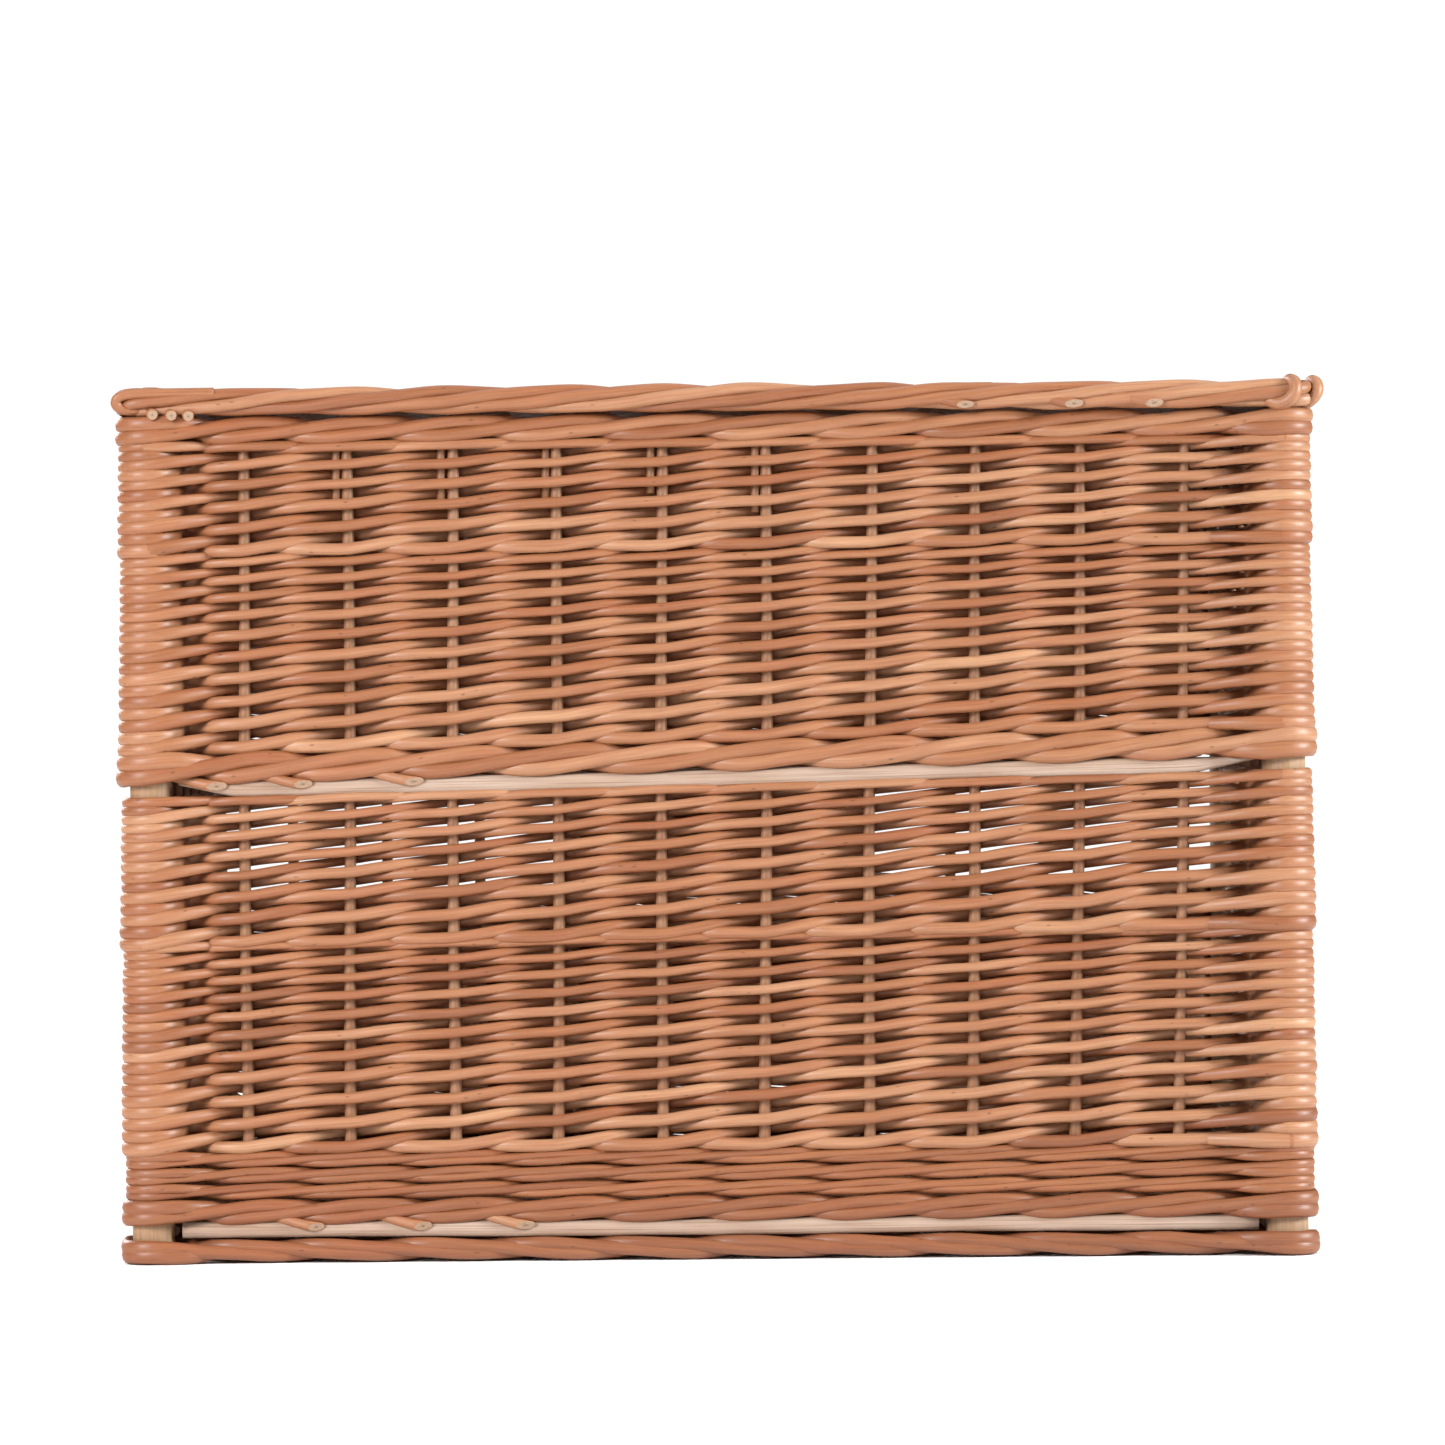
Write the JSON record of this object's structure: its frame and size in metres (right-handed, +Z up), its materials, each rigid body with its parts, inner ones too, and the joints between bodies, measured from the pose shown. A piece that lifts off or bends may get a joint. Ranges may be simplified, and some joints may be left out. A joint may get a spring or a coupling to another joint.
{
  "type": "laundry hamper",
  "caption": "Rectangular two-tier willow basket with a flat hinged lid, on continuous corner posts, for holding laundry.",
  "frame": {"origin": "middle of the footprint of the whole object, on the surface that the foot stands on", "axes": "+X along the length, -Y towards the front wall, +Y towards the lid hinge, +Z up"},
  "size_m": [0.606, 0.426, 0.447],
  "materials": {
    "buff_willow_weave": "satin lacquered buff willow rods",
    "buff_willow_stake": "satin lacquered buff willow rods",
    "peeled_post": "peeled willow pole, satin",
    "split_lath": "split willow, shaved, matt"
  },
  "bodies": {
    "basket": {"base_weave": "buff_willow_weave", "bottom_lath_front": "split_lath", "bottom_lath_rear": "split_lath", "corner_post_front_left": "peeled_post", "corner_post_front_right": "peeled_post", "corner_post_rear_left": "peeled_post", "corner_post_rear_right": "peeled_post", "foot_border": "buff_willow_weave", "hinge_ring_left": "buff_willow_stake", "hinge_ring_right": "buff_willow_stake", "lower_wale": "buff_willow_weave", "lower_weave_front": "buff_willow_weave", "lower_weave_left": "buff_willow_weave", "lower_weave_rear": "buff_willow_weave", "lower_weave_right": "buff_willow_weave", "mid_lath_front": "split_lath", "mid_lath_rear": "split_lath", "mid_wale": "buff_willow_weave", "stake_front_01": "buff_willow_stake", "stake_front_02": "buff_willow_stake", "stake_front_03": "buff_willow_stake", "stake_front_04": "buff_willow_stake", "stake_front_05": "buff_willow_stake", "stake_front_06": "buff_willow_stake", "stake_front_07": "buff_willow_stake", "stake_front_08": "buff_willow_stake", "stake_front_09": "buff_willow_stake", "stake_front_10": "buff_willow_stake", "stake_left_01": "buff_willow_stake", "stake_left_02": "buff_willow_stake", "stake_left_03": "buff_willow_stake", "stake_left_04": "buff_willow_stake", "stake_left_05": "buff_willow_stake", "stake_left_06": "buff_willow_stake", "stake_rear_01": "buff_willow_stake", "stake_rear_02": "buff_willow_stake", "stake_rear_03": "buff_willow_stake", "stake_rear_04": "buff_willow_stake", "stake_rear_05": "buff_willow_stake", "stake_rear_06": "buff_willow_stake", "stake_rear_07": "buff_willow_stake", "stake_rear_08": "buff_willow_stake", "stake_rear_09": "buff_willow_stake", "stake_rear_10": "buff_willow_stake", "stake_right_01": "buff_willow_stake", "stake_right_02": "buff_willow_stake", "stake_right_03": "buff_willow_stake", "stake_right_04": "buff_willow_stake", "stake_right_05": "buff_willow_stake", "stake_right_06": "buff_willow_stake", "top_wale": "buff_willow_weave", "upper_weave_front": "buff_willow_weave", "upper_weave_left": "buff_willow_weave", "upper_weave_rear": "buff_willow_weave", "upper_weave_right": "buff_willow_weave"},
    "lid": {"lid_border": "buff_willow_weave", "lid_end_stick_left": "buff_willow_stake", "lid_end_stick_right": "buff_willow_stake", "lid_weave": "buff_willow_weave"}
  },
  "joints": [
    {"name": "lid_hinge", "type": "hinge", "parent": "basket", "child": "lid", "pos_m": [0, 0.192, 0.426], "axis": [-1, 0, 0], "range_deg": [0, 105]}
  ]
}
